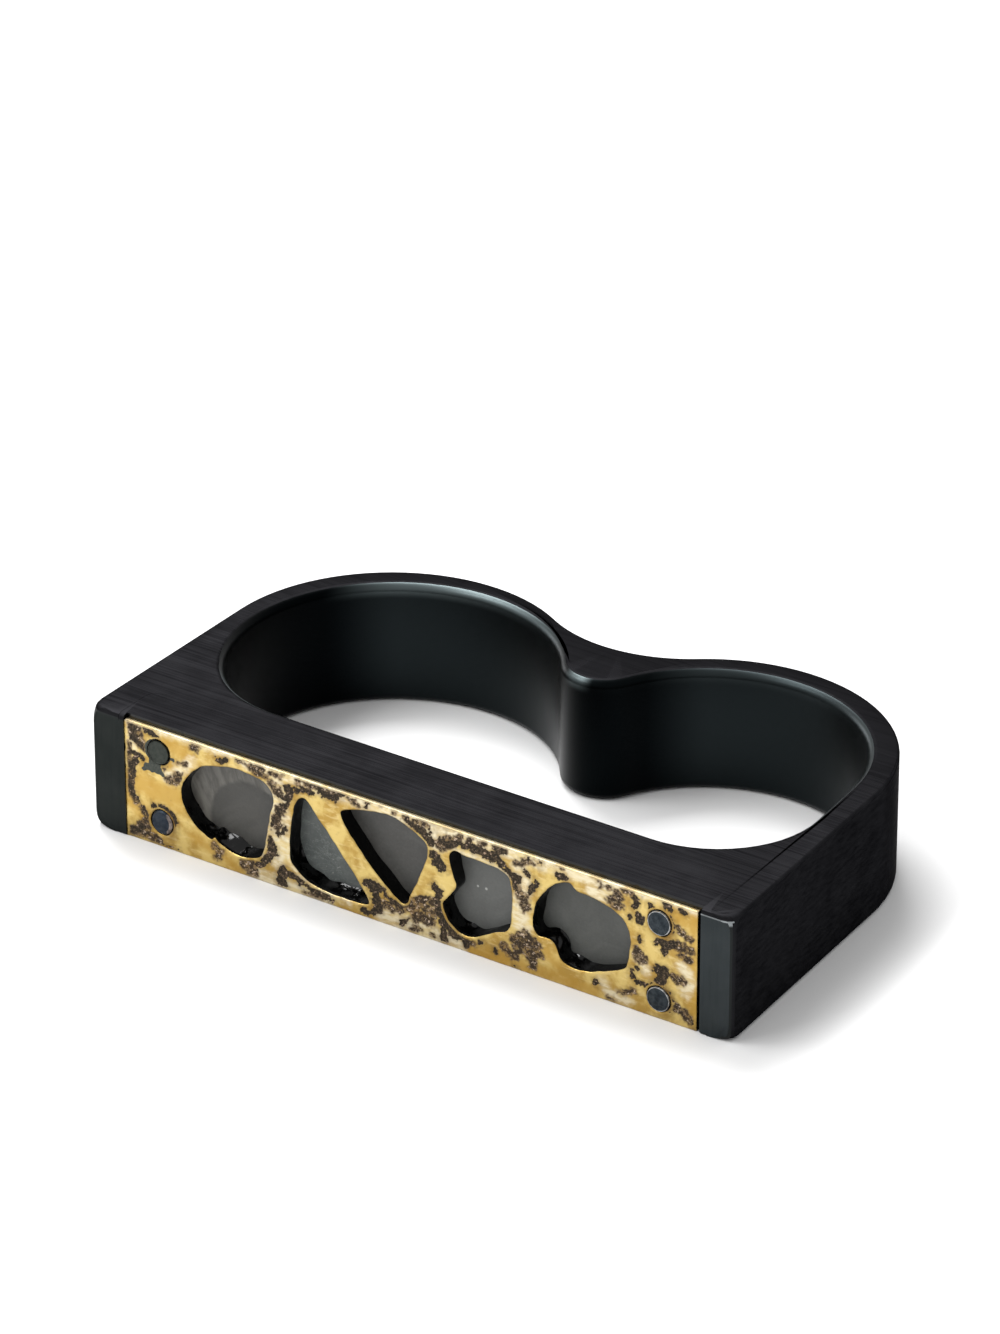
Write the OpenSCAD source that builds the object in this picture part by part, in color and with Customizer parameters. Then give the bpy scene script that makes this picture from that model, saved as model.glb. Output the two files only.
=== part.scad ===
// A ring for two fingers, lying on its side. Everything is in millimetres.
// The sizes are given from the front face: x runs along it to the right, y to the back, z up.
// The finished ring is then moved so that the origin is under the middle of its box.

/* [Band] */
// Width of the band, which is the height of the ring as it lies
band_h = 9; // [8:0.5:11]
// From the middle of the front to its left corner
front_l = 25.5; // [24.8:0.1:26]
// From the middle of the front to its right corner
front_r = 24.4; // [24:0.1:26]
// Handmade turn of the finger loops against the front face, in degrees
skew = 3.5; // [0:0.5:4]
// Outer radius of each finger loop
loop_r = 12.2; // [12.1:0.1:12.6]
// Each loop's centre, to the side of the middle
loop_x = 12.2; // [12:0.1:12.5]
// Each loop's centre, behind the front
loop_y = 17.3; // [17.1:0.1:18]
// Radius of the hollow between the two loops at the back
neck_r = 10; // [9:0.5:12]

/* [Opening] */
// Radius of the left finger's hole
hole_l_r = 11.1; // [10.6:0.1:11.2]
// Its centre, to the left of the middle
hole_l_x = 11.6; // [11.5:0.1:11.8]
// Its centre, behind the front
hole_l_y = 16.7; // [16.5:0.1:16.9]
// Radius of the right finger's hole
hole_r_r = 10.4; // [10:0.1:10.6]
// Its centre, to the right of the middle
hole_r_x = 12; // [11.8:0.1:12.1]
// Its centre, behind the front
hole_r_y = 17.2; // [17:0.1:17.4]
// Thickness of the bar across the two fingers
bar_t = 6.1; // [5:0.1:6.5]
// Radius of the opening's left corner at the bar
corner_l_r = 8; // [7:0.5:8.5]
// Radius of the opening's right corner at the bar
corner_r_r = 7.2; // [6.6:0.1:7.4]
// Centre of the right corner, to the right of the middle
corner_r_x = 14.5; // [14.2:0.1:14.6]
// Radius of the divider's round end
nose_r = 3; // [2.5:0.1:3.5]
// Rounding of the opening's upper and lower edges
edge_r = 0.6; // [0.3:0.1:1]
// Rounding of the outer lower edge, on the sides and the back
foot_r = 0.4; // [0.1:0.1:0.8]
// Rounding of the outer upper edge, on the sides and the back
rim_r = 0.2; // [0.1:0.1:0.5]
// Radius of the front corners in plan, halfway up
front_corner_r = 0.4; // [0.2:0.1:0.8]
// How much wider that radius has worn at the upper and lower faces
worn_r = 1.1; // [0.4:0.1:1.2]
// How far from those faces the corners are worn
worn_h = 1.2; // [0.9:0.1:2]

/* [Front] */
// Left end of the block that is let into the bar, from the middle
block_l = 23.2; // [23.1:0.1:23.4]
// Right end of the block, from the middle
block_r = 21.95; // [21.95:0.05:22.2]
// Depth of the block
block_t = 3.7; // [3.3:0.1:4]
// Radius of the block's two rear corners
block_corner_r = 0.9; // [0.5:0.1:1.5]
// Left end of the gold plate, from the middle
plate_l = 22.8; // [22:0.1:22.8]
// Right end of the gold plate, from the middle
plate_r = 21.7; // [21:0.05:21.85]
// Thickness of the gold plate
plate_t = 0.3; // [0.2:0.05:0.5]
// How far the plate lies behind the end strips
plate_in = 0.08; // [0.06:0.02:0.2]
// Depth of the stones' faces behind the end strips
stone_in = 1.25; // [0.8:0.05:1.4]
// Thickness of the stones
stone_t = 1.4; // [0.8:0.1:1.6]
// Radius of the rivet heads
rivet_r = 0.9; // [0.7:0.05:1]
// Radius of the rivet shafts
shaft_r = 0.6; // [0.4:0.05:0.6]
// Length of a rivet
rivet_len = 3; // [2:0.1:3.1]

/* [Hidden] */
$fn = 96;

// Clearance between pieces, and the overrun of a cut past a face
gap = 0.03;
over = 1;

blackened_silver = "#33333a";
dark_silver = "#3c4044";
yellow_gold = "#d9b45e";
grey_stone = "#6a6862";
rivet_silver = "#5a6068";

// The middle of each rivet, x and z on the front face
rivets = [[-20.1, 7], [-19.95, 1.8], [18.85, 6.9], [18.85, 1.4]];

// The window outlines, x and z on the front face, clockwise from the upper left
windows = [
    [
        [-16.8, 6.9], [-15.5, 7.4], [-13.6, 7.7], [-11.6, 7.4], [-10.9, 6.4], [-11.2, 5.1],
        [-11.5, 3.5], [-11.9, 1.9], [-12.9, 1.4], [-14.1, 1.3], [-15.3, 1.7], [-15.7, 2],
        [-16.1, 1.8], [-17.3, 2.5], [-18.2, 3.8], [-18.2, 5.3]
    ],
    [
        [-9, 6.9], [-8.6, 7.2], [-8.1, 7], [-6.8, 5.5], [-5.4, 3.9], [-4.1, 2.3], [-3.4, 1.2],
        [-3.7, 0.9], [-5, 0.8], [-7.1, 0.9], [-8.7, 1.4], [-9.6, 2.4], [-9.6, 4.2], [-9.3, 6.2]
    ],
    [
        [-5.6, 7], [-5.2, 7.4], [-3.8, 7.8], [-1.9, 8.1], [-0.5, 7.8], [1, 7], [1.2, 6.2],
        [0.7, 4.6], [-0.1, 2.8], [-0.4, 2.1], [-0.9, 2], [-1.9, 2.7], [-3.4, 4.1], [-5, 5.9]
    ],
    [
        [2.9, 6.6], [3.3, 7.1], [4.2, 7], [6.2, 6.9], [7.4, 6.6], [7.7, 5.6], [7.7, 4],
        [7.4, 2.6], [6.2, 2], [4.9, 1.3], [3.8, 1.2], [2.8, 1.9], [2.4, 2.9], [2.9, 3.7],
        [3.4, 4.5], [3.1, 5.6]
    ],
    [
        [10.7, 6.9], [12, 7.6], [12.6, 7.2], [13.9, 7.1], [15.4, 6.7], [16.3, 6.1], [16.7, 4.9],
        [16.5, 3.3], [16.1, 2.6], [14.4, 1.9], [12.9, 1.5], [11.6, 1.7], [11.1, 2.6], [10.6, 3],
        [9.7, 3], [9.3, 3.8], [9.6, 5.4]
    ]
];
// Straight steps between two points of a window's outline
curve_steps = 4;
// Steps of the arcs in plan: each loop, the neck, the opening's corners, the left hole past its side
// and the front corners. Then those of a rounded edge and of the worn height of a front corner
loop_steps = 30;
neck_steps = 20;
corner_steps = 14;
hole_steps = 6;
front_steps = 4;
edge_steps = 4;
worn_steps = 3;

// Plane geometry

function turned(p) = [p.x * cos(skew) - p.y * sin(skew), p.x * sin(skew) + p.y * cos(skew)];
function heading(v) = atan2(v.y, v.x);
function from(c, r, a) = c + r * [cos(a), sin(a)];
// An angle brought above another by whole turns
function above(a, least) = a < least ? above(a + 360, least) : a;
// Where a circle of radius r touches two circles from outside, on the left of the way from c1 to c2
function touching(c1, r1, c2, r2, r) =
    let (d = norm(c2 - c1), a = r1 + r, b = r2 + r)
    let (s = (a * a - b * b + d * d) / (2 * d), e = (c2 - c1) / d)
    c1 + s * e + sqrt(a * a - s * s) * [-e.y, e.x];

// One stretch of a smooth closed curve through the points, k being its first point
function stretch(p, k, t) =
    let (n = len(p), a = p[(k + n - 1) % n], b = p[k], c = p[(k + 1) % n], d = p[(k + 2) % n])
    0.5 * (2 * b + (c - a) * t + (2 * a - 5 * b + 4 * c - d) * t * t + (3 * b - a - 3 * c + d) * t * t * t);
function smooth(p) = [for (k = [0:len(p) - 1]) for (s = [0:curve_steps - 1]) stretch(p, k, s / curve_steps)];
// A clockwise outline moved outwards by w
function grown(p, w) = [
    for (k = [0:len(p) - 1])
        let (v = p[(k + 1) % len(p)] - p[(k + len(p) - 1) % len(p)])
        p[k] + w * [-v.y, v.x] / norm(v)
];

// Outer plan: the front corners, the two loops and where straight sides and the hollow touch them
corner_a = [-front_l, 0];
corner_b = [front_r, 0];
loop_a = turned([-loop_x, loop_y]);
loop_b = turned([loop_x, loop_y]);
neck = touching(loop_a, loop_r, loop_b, loop_r, neck_r);
side_a = heading(corner_a - loop_a) - acos(loop_r / norm(corner_a - loop_a));
side_b = heading(corner_b - loop_b) + acos(loop_r / norm(corner_b - loop_b));

// Opening: the two finger holes, the two corners at the bar and the divider's round end
hole_a = turned([-hole_l_x, hole_l_y]);
hole_b = turned([hole_r_x, hole_r_y]);
nose = touching(hole_a, hole_l_r, hole_b, hole_r_r, nose_r);
corner_l_y = bar_t + corner_l_r;
corner_l_side = sqrt(pow(hole_l_r - corner_l_r, 2) - pow(corner_l_y - hole_a.y, 2));
bend_a = [hole_a.x - corner_l_side, corner_l_y];
bend_b = [corner_r_x, bar_t + corner_r_r];
// Direction of the straight side's outward normal, between the right corner and the right hole
wall_b = heading(hole_b - bend_b) - acos((corner_r_r - hole_r_r) / norm(hole_b - bend_b));
// Directions in which the arcs of the opening start and end
nose_b = heading(hole_b - nose) + 360;
nose_a = heading(hole_a - nose) + 360;
turn_b = nose_b - 180;
turn_a = above(heading(bend_a - hole_a), 0);
wall_a = above(side_a, 0);

// Points along an arc in n steps, and the points after the first, for an arc that goes on from another
function arc(c, r, a0, a1, n) = [for (k = [0:n]) from(c, r, a0 + (a1 - a0) * k / n)];
function onward(c, r, a0, a1, n) = [for (k = [1:n]) from(c, r, a0 + (a1 - a0) * k / n)];

// The centre of a front corner's arc of radius r, which touches the front and the loop's straight side.
// Angle a is the direction of the side's outward normal, and w moves the side into the metal
function corner_centre(loop, a, w, r) =
    [loop.x + (loop_r - w - r - (r - loop.y) * sin(a)) / cos(a), r];

// Both outlines run from the front's right end round the back to its left end.
// Where an edge is rounded, w moves the outline into the metal. The front corners have radius r
function opening_outline(w) = concat(
    arc(bend_b, corner_r_r + w, -90, wall_b, corner_steps),
    arc(hole_b, hole_r_r + w, wall_b, turn_b, loop_steps),
    onward(nose, nose_r - w, nose_b, nose_a, neck_steps),
    onward(hole_a, hole_l_r + w, nose_a - 180, wall_a, loop_steps),
    onward(hole_a, hole_l_r + w, wall_a, turn_a, hole_steps),
    onward(bend_a, corner_l_r + w, turn_a, 270, corner_steps)
);
function body_outline(w, r) = concat(
    arc(corner_centre(loop_b, side_b, w, r), r, -90, side_b, front_steps),
    arc(loop_b, loop_r - w, side_b, heading(neck - loop_b), loop_steps),
    onward(neck, neck_r + w, heading(loop_b - neck), heading(loop_a - neck), neck_steps),
    onward(loop_a, loop_r - w, heading(neck - loop_a), wall_a, loop_steps),
    arc(corner_centre(loop_a, wall_a, w, r), r, wall_a, 270, front_steps)
);

// The heights and shifts of a wall's rings, from the foot up, with both its edges rounded
edge_turn = 90 / edge_steps;
function rounded_foot(r) = [for (k = [0:edge_steps]) r * [1 - cos(k * edge_turn), 1 - sin(k * edge_turn)]];
function rounded_rim(r) = [
    for (k = [0:edge_steps]) [band_h, 0] + r * [sin(k * edge_turn) - 1, 1 - cos(k * edge_turn)]
];
// The outer wall has more rings where its front corners are worn
outer_rings = concat(
    rounded_foot(foot_r),
    [for (k = [1:worn_steps]) [foot_r + (worn_h - foot_r) * k / worn_steps, 0]],
    [for (k = [worn_steps:-1:1]) [band_h - rim_r - (worn_h - rim_r) * k / worn_steps, 0]],
    rounded_rim(rim_r)
);
inner_rings = concat(rounded_foot(edge_r), rounded_rim(edge_r));
// The radius of the front corners at height z
function corner_at(z) =
    let (near = max(0, 1 - min(z, band_h - z) / worn_h))
    front_corner_r + worn_r * (1 - sqrt(1 - near * near));

function reversed(v) = [for (k = [1:len(v)]) v[len(v) - k]];
// One panel of a wall between the ring that starts at point i0 and the ring above it
function panel(i0, n, j) = [i0 + j, i0 + n + j, i0 + n + (j + 1) % n, i0 + (j + 1) % n];
// A flat face between the outer ring at o0 and the inner ring at i0. The loops' and the neck's points
// pair up with the opening's, and the two front corners see what is left of the opening
function flat_face(o0, n_o, i0, n_i) =
    let (side = o0 + front_steps + 1, pairs = n_o - 2 * front_steps - 3)
    let (first = i0 + corner_steps + 1, last = first + pairs, end = o0 + n_o - 1)
    concat(
        [for (k = [i0:first - 1]) [o0, k + 1, k]],
        [for (k = [o0:side - 1]) [k, k + 1, first]],
        [for (k = [0:pairs - 1]) [side + k, side + k + 1, first + k + 1, first + k]],
        [for (k = [side + pairs:end - 1]) [k, k + 1, last]],
        [for (k = [last:i0 + n_i - 2]) [end, k + 1, k]],
        [[end, o0, i0, i0 + n_i - 1]]
    );

// The ring's box, whose middle the origin lies under
plan = body_outline(0, front_corner_r);
box_x0 = min([for (p = plan) p.x]);
box_x1 = max([for (p = plan) p.x]);
box_y1 = max([for (p = plan) p.y]);

module place() {
    translate([-(box_x0 + box_x1) / 2, -box_y1 / 2, 0])
        children();
}

// An outline on the front face, made solid between two depths
module through_front(y0, y1) {
    translate([0, y1, 0])
        rotate([90, 0, 0])
            linear_extrude(height = y1 - y0)
                children();
}

// The block's plan, grown by w. It starts in front of the ring, so that it also serves as a cut
module block_plan(w, y0) {
    r = block_corner_r + w;
    x0 = -block_l - w;
    x1 = block_r + w;
    y1 = block_t + w;
    translate([x0, y0]) square([x1 - x0, y1 - r - y0]);
    translate([x0 + r, y0]) square([x1 - x0 - 2 * r, y1 - y0]);
    translate([x0 + r, y1 - r]) circle(r = r);
    translate([x1 - r, y1 - r]) circle(r = r);
}

// The walls stand on rings of points, and the flat faces join the outer ring to the inner one
module shank_form() {
    n_o = len(plan);
    n_i = len(opening_outline(0));
    first_i = len(outer_rings) * n_o;
    top_i = first_i + (len(inner_rings) - 1) * n_i;
    points = concat(
        [for (e = outer_rings, p = body_outline(e[1], corner_at(e[0]))) [p.x, p.y, e[0]]],
        [for (e = inner_rings, p = opening_outline(e[1])) [p.x, p.y, e[0]]]
    );
    faces = concat(
        [for (k = [0:len(outer_rings) - 2], j = [0:n_o - 1]) panel(k * n_o, n_o, j)],
        [for (k = [0:len(inner_rings) - 2], j = [0:n_i - 1]) reversed(panel(first_i + k * n_i, n_i, j))],
        [for (f = flat_face(first_i - n_o, n_o, top_i, n_i)) reversed(f)],
        flat_face(0, n_o, first_i, n_i)
    );
    polyhedron(points = points, faces = faces, convexity = 6);
}

module shank() {
    color(blackened_silver)
        place()
            difference() {
                shank_form();
                translate([0, 0, -over]) linear_extrude(height = band_h + 2 * over) block_plan(gap, -over);
            }
}

// The block has a step for the plate, a pocket for each stone and a bore for each rivet
module setting_block() {
    color(dark_silver)
        place()
            difference() {
                linear_extrude(height = band_h) block_plan(0, 0);
                translate([-plate_l - gap, -over, -over])
                    cube([plate_l + block_r + 2 * over, over + plate_in + plate_t + gap, band_h + 2 * over]);
                for (w = windows)
                    through_front(0, stone_in + stone_t + gap) polygon(grown(smooth(w), 2 * gap));
                for (p = rivets)
                    through_front(0, rivet_len + gap) translate(p) circle(r = shaft_r + gap);
            }
}

module gold_plate() {
    color(yellow_gold)
        place()
            through_front(plate_in, plate_in + plate_t)
                difference() {
                    translate([-plate_l, 0]) square([plate_l + plate_r, band_h]);
                    for (w = windows) polygon(smooth(w));
                    for (p = rivets) translate(p) circle(r = rivet_r + gap);
                }
}

module stone(k) {
    color(grey_stone)
        place()
            through_front(stone_in, stone_in + stone_t)
                polygon(grown(smooth(windows[k]), gap));
}

// A rivet's low head stands level with the end strips, and its shaft goes into the block
module rivet(k) {
    head_t = plate_in + plate_t;
    color(rivet_silver)
        place()
            translate([rivets[k].x, 0, rivets[k].y])
                rotate([-90, 0, 0])
                    rotate_extrude()
                        polygon([
                            [0, 0], [rivet_r * 0.8, 0], [rivet_r, plate_in], [rivet_r, head_t],
                            [shaft_r, head_t], [shaft_r, rivet_len], [0, rivet_len]
                        ]);
}

shank();
setting_block();
gold_plate();
stone(0);  // stone_1
stone(1);  // stone_2
stone(2);  // stone_3
stone(3);  // stone_4
stone(4);  // stone_5
rivet(0);  // rivet_1
rivet(1);  // rivet_2
rivet(2);  // rivet_3
rivet(3);  // rivet_4
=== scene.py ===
import math

import bmesh
import bpy
from mathutils import Matrix, Vector, bvhtree, kdtree, noise


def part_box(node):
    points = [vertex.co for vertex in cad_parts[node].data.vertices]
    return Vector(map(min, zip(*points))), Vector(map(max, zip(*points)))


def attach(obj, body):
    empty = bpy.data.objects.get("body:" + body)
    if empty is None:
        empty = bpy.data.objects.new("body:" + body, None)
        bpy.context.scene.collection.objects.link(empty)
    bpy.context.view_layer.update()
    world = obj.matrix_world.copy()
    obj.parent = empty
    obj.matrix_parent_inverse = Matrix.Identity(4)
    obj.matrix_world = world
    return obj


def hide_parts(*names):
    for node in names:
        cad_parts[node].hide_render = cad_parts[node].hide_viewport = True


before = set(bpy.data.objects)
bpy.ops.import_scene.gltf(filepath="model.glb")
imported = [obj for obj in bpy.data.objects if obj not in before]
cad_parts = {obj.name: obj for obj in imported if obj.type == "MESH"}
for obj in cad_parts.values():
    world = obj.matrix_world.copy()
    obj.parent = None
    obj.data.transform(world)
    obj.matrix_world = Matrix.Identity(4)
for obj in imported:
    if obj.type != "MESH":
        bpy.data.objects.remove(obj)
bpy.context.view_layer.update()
scene = bpy.context.scene

# Places on the ring are given in millimetres, from a point near the middle of the front's foot:
# x along the front to the right, y to the back, z up. The gold sheet ends plate_left to its left.
mm = 0.001
tiny = 0.001 * mm
plate_left = 22.8
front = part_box("shank")[0].y
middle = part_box("gold_plate")[0].x + plate_left * mm


def place(x, y, z):
    return Vector((middle + x * mm, front + y * mm, z * mm))


# Camera, to the right of the gold front and looking down on the ring, as in the photograph.
azimuth = math.radians(34.3)
elevation = math.radians(28.07)
looked_at = place(0.17, 9.87, 15.1)
camera_distance = 450
away = Vector((math.sin(azimuth), -math.cos(azimuth), math.tan(elevation))).normalized()
lens = bpy.data.cameras.new("camera")
lens.sensor_width = 36
lens.lens = 189.3
lens.clip_start = 10 * mm
camera = bpy.data.objects.new("camera", lens)
camera.location = looked_at + away * camera_distance * mm
camera.rotation_euler = away.to_track_quat("Z", "Y").to_euler()
scene.collection.objects.link(camera)
scene.camera = camera


# Floor and light: a plain white table in a light tent, with one soft box overhead, a little
# behind the ring, and three weak ones on the left: in front, above and low beside it.
def new_material(name, constants):
    material = bpy.data.materials.new(name)
    material.use_nodes = True
    tree = material.node_tree
    shader = tree.nodes["Principled BSDF"]
    for key, value in constants.items():
        shader.inputs[key].default_value = value
    return material, tree, shader


def soft_box(name, where, wide, tall, watts):
    """A soft box at a place, turned to the ring."""
    light = bpy.data.lights.new(name, "AREA")
    light.shape = "RECTANGLE"
    light.size = wide
    light.size_y = tall
    light.energy = watts
    box = bpy.data.objects.new(name, light)
    box.location = where
    box.rotation_euler = (where - ring_centre).to_track_quat("Z", "Y").to_euler()
    scene.collection.objects.link(box)


table_top = bmesh.new()
bmesh.ops.create_grid(table_top, x_segments=1, y_segments=1, size=1.5)
table_mesh = bpy.data.meshes.new("floor")
table_top.to_mesh(table_mesh)
table_top.free()
floor = bpy.data.objects.new("floor", table_mesh)
scene.collection.objects.link(floor)

white_board, _, _ = new_material(
    "white_board", {"Base Color": (0.73, 0.73, 0.73, 1), "Roughness": 0.9, "Specular IOR Level": 0.1}
)
table_mesh.materials.append(white_board)

scene.world = bpy.data.worlds.new("light_tent")
scene.world.use_nodes = True
tent = scene.world.node_tree.nodes["Background"]
tent.inputs["Color"].default_value = (1, 1, 1, 1)
tent.inputs["Strength"].default_value = 0.8
scene.view_settings.view_transform = "Standard"

ring_centre = place(0, 12, 4)
soft_box("overhead_box", place(-190, 165, 400), 0.2, 0.2, 2.2)
soft_box("front_box", place(-240, -230, 330), 0.3, 0.08, 0.8)
soft_box("low_box", place(-250, 60, 45), 0.12, 0.12, 0.2)
soft_box("high_box", place(-200, -60, 400), 0.2, 0.07, 0.6)


# Shank: the whole body of the ring, cut from one piece of silver and then blackened. Its flat
# faces are rubbed on emery, the outside is left dull and the finger holes are polished. Painted
# shade darkens the upper face towards the back and the left of each finger hole, and partly
# darkens the outside walls; painted highlights lie below the holes' upper edges and on the
# divider's tip. The front's upper edge is worn round, and bright only at its right end.
def add(tree, kind, inputs=None, output=0, **settings):
    """Adds a shader node, with values or other nodes' sockets as inputs, and gives its output."""
    node = tree.nodes.new(kind)
    for name, value in settings.items():
        setattr(node, name, value)
    for key, value in (inputs or {}).items():
        if isinstance(value, bpy.types.NodeSocket):
            tree.links.new(value, node.inputs[key])
        else:
            node.inputs[key].default_value = value
    return node.outputs[output]


def grain(tree, per_metre, detail=4.0, rough=0.55, twist=0.0, turn=(0, 0, 0)):
    """Noise on the object's own coordinates, with its own number of grains to the metre each way."""
    coords = add(tree, "ShaderNodeTexCoord", output="Object")
    turned = add(tree, "ShaderNodeMapping", {"Vector": coords, "Rotation": turn})
    stretched = add(tree, "ShaderNodeMapping", {"Vector": turned, "Scale": per_metre})
    return add(
        tree,
        "ShaderNodeTexNoise",
        {"Vector": stretched, "Scale": 1.0, "Detail": detail, "Roughness": rough, "Distortion": twist},
    )


def spread(tree, value, low, high, to_low=0.0, to_high=1.0):
    """A soft step of a value: from to_low, at or under low, to to_high, at or over high."""
    return add(
        tree,
        "ShaderNodeMapRange",
        {"Value": value, "From Min": low, "From Max": high, "To Min": to_low, "To Max": to_high},
        interpolation_type="SMOOTHSTEP",
    )


def blended(tree, amount, first, second):
    return add(tree, "ShaderNodeMix", {0: amount, 6: first, 7: second}, output=2, data_type="RGBA")


def sum_of(tree, first, second):
    return add(tree, "ShaderNodeMath", {0: first, 1: second}, operation="ADD")


def product_of(tree, first, second):
    return add(tree, "ShaderNodeMath", {0: first, 1: second}, operation="MULTIPLY")


def larger_of(tree, first, second):
    return add(tree, "ShaderNodeMath", {0: first, 1: second}, operation="MAXIMUM")


def along(tree, axis):
    """The object's own coordinate along one axis, in metres."""
    coords = add(tree, "ShaderNodeTexCoord", output="Object")
    return add(tree, "ShaderNodeSeparateXYZ", {"Vector": coords}, output=axis)


def raised(tree, shader, height, depth, strength):
    """Gives the surface a fine relief."""
    bumped = add(tree, "ShaderNodeBump", {"Height": height, "Distance": depth, "Strength": strength})
    tree.links.new(bumped, shader.inputs["Normal"])


def brushed_silver(name, dark, light, per_metre=(70, 5200, 5200), rough=(0.42, 0.62), back_shade=0.0):
    """Blackened silver with fine rubbing lines over soft clouds; painted shade can darken it towards the
    back.
    """
    material, tree, shader = new_material(name, {"Metallic": 1.0, "Specular Tint": (0.3, 0.3, 0.3, 1)})
    lines = grain(tree, per_metre, detail=6.0, rough=0.7)
    clouds = grain(tree, (260, 260, 260), detail=3.0)
    lined = spread(tree, lines, 0.3, 0.7, 0.0, 0.65)
    tone = sum_of(tree, lined, spread(tree, clouds, 0.35, 0.65, 0.0, 0.35))
    # Painted shade: darker towards the back.
    behind = spread(tree, along(tree, "Y"), -0.004, 0.013, 0.0, back_shade)
    colour = blended(tree, behind, blended(tree, tone, dark, light), dark)
    tree.links.new(colour, shader.inputs["Base Color"])
    tree.links.new(spread(tree, lines, 0.3, 0.7, *rough), shader.inputs["Roughness"])
    raised(tree, shader, lines, 0.012 * mm, 0.5)
    return material


# The upper faces get painted shade towards the back.
rubbed_face = brushed_silver(
    "rubbed_face", (0.0085, 0.0084, 0.0093, 1), (0.021, 0.0208, 0.0228, 1), back_shade=0.85
)
left_strip = brushed_silver(
    "left_strip", (0.018, 0.0208, 0.0202, 1), (0.031, 0.034, 0.0325, 1), per_metre=(4200, 4200, 260)
)
right_strip = brushed_silver(
    "right_strip", (0.028, 0.033, 0.035, 1), (0.047, 0.054, 0.057, 1), per_metre=(4200, 4200, 260)
)
# The outside walls: darker than the front, partly as painted shade.
dull_wall_painted_shade = brushed_silver(
    "dull_wall_painted_shade",
    (0.012, 0.012, 0.0134, 1),
    (0.0235, 0.0235, 0.0258, 1),
    per_metre=(900, 900, 4200),
    rough=(0.5, 0.7),
)


def polished_silver():
    """Black film, darkened by painted shade on the left of each finger hole, with a painted highlight
    towards its upper edge.

    The divider's tip has a short painted highlight of its own. Places are in metres from the ring's
    middle.
    """
    material, tree, shader = new_material("polished_wall_painted_light", {"Metallic": 1.0, "Roughness": 0.38})
    sideways = along(tree, "X")
    height = along(tree, "Z")
    # Painted shade: the film is darkened on the left of each finger hole, where these masks are empty.
    left_hole_unshaded = product_of(
        tree,
        spread(tree, sideways, -0.0218, -0.0178),
        spread(tree, sideways, -0.006, -0.0033, 1.0, 0.08),
    )
    right_hole_unshaded = spread(tree, sideways, 0.0022, 0.0062)
    unshaded_side = larger_of(tree, left_hole_unshaded, right_hole_unshaded)
    film = blended(tree, unshaded_side, (0.0011, 0.0016, 0.0019, 1), (0.0125, 0.016, 0.0172, 1))
    # Painted highlight just below the holes' upper edge, full on the left hole and weak on the right.
    upper = spread(tree, height, 0.0079, 0.0087)
    highlight_fade = spread(tree, sideways, -0.0095, -0.005, 1.0, 0.17)
    edge = product_of(tree, upper, product_of(tree, unshaded_side, highlight_fade))
    # Painted highlight on the divider's tip, near its upper edge.
    tip = product_of(
        tree,
        spread(tree, sideways, -0.0021, -0.0012),
        spread(tree, sideways, -0.0007, 0.0004, 1.0, 0.0),
    )
    tip = product_of(tree, tip, spread(tree, along(tree, "Y"), 0.0, 0.002))
    tip = product_of(tree, tip, spread(tree, height, 0.0079, 0.0087, 0.0, 0.85))
    painted_highlight = larger_of(tree, edge, tip)
    tree.links.new(blended(tree, painted_highlight, film, (0.08, 0.098, 0.101, 1)), shader.inputs["Base Color"])
    return material


def worn_silver():
    """The narrow edges of the front: dull, and bright only at the upper edge's right end."""
    material, tree, shader = new_material("worn_edge", {"Metallic": 1.0, "Roughness": 0.45})
    rubs = spread(tree, grain(tree, (900, 900, 500), detail=4.0), 0.38, 0.62, 0.45, 1.0)
    right = spread(tree, along(tree, "X"), 0.0195, 0.0212)
    upper = spread(tree, along(tree, "Z"), 0.0083, 0.0085)
    bright = product_of(tree, rubs, product_of(tree, right, upper))
    colour = blended(tree, bright, (0.02, 0.022, 0.022, 1), (0.3, 0.32, 0.33, 1))
    tree.links.new(colour, shader.inputs["Base Color"])
    return material


polished_wall_painted_light = polished_silver()
worn_edge = worn_silver()


def merged_copy(node):
    """The mesh of a solid as a bmesh, with its corners joined."""
    shape = bmesh.new()
    shape.from_mesh(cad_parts[node].data)
    bmesh.ops.remove_doubles(shape, verts=shape.verts, dist=tiny)
    return shape


def finished(name, shape, materials, node, sharp=32):
    """Turns a bmesh into a piece that stands for a solid, with round stretches shaded smoothly."""
    for face in shape.faces:
        face.smooth = True
    for edge in shape.edges:
        edge.smooth = edge.calc_face_angle(0) < math.radians(sharp)
    mesh = bpy.data.meshes.new(name)
    shape.to_mesh(mesh)
    shape.free()
    for material in materials:
        mesh.materials.append(material)
    made = bpy.data.objects.new(name, mesh)
    scene.collection.objects.link(made)
    made.modifiers.new("even_shading", "WEIGHTED_NORMAL").keep_sharp = True
    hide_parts(node)
    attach(made, "root")
    return made


def edges_on_front(shape):
    """The sharp level edges that lie in the plane of the front face."""
    flat = [e for e in shape.edges if all(v.co.y < front + tiny for v in e.verts)]
    level = [e for e in flat if abs(e.verts[0].co.z - e.verts[1].co.z) < tiny]
    return [e for e in level if e.calc_face_angle(0) > math.radians(30)]


def worn_front_edges(shape, look):
    """Takes the sharpness off the front's level edges."""
    bmesh.ops.bevel(
        shape,
        geom=edges_on_front(shape),
        offset=worn_width,
        segments=2,
        profile=0.5,
        affect="EDGES",
        material=look,
    )


def cut_across(shape, faces, point, normal):
    """Cuts the given faces along a plane, and gives the faces they have become."""
    around = {part for face in faces for part in (face, *face.edges, *face.verts)}
    cut = bmesh.ops.bisect_plane(shape, geom=list(around), plane_co=point, plane_no=normal)
    return [part for part in cut["geom"] if isinstance(part, bmesh.types.BMFace)]


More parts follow.
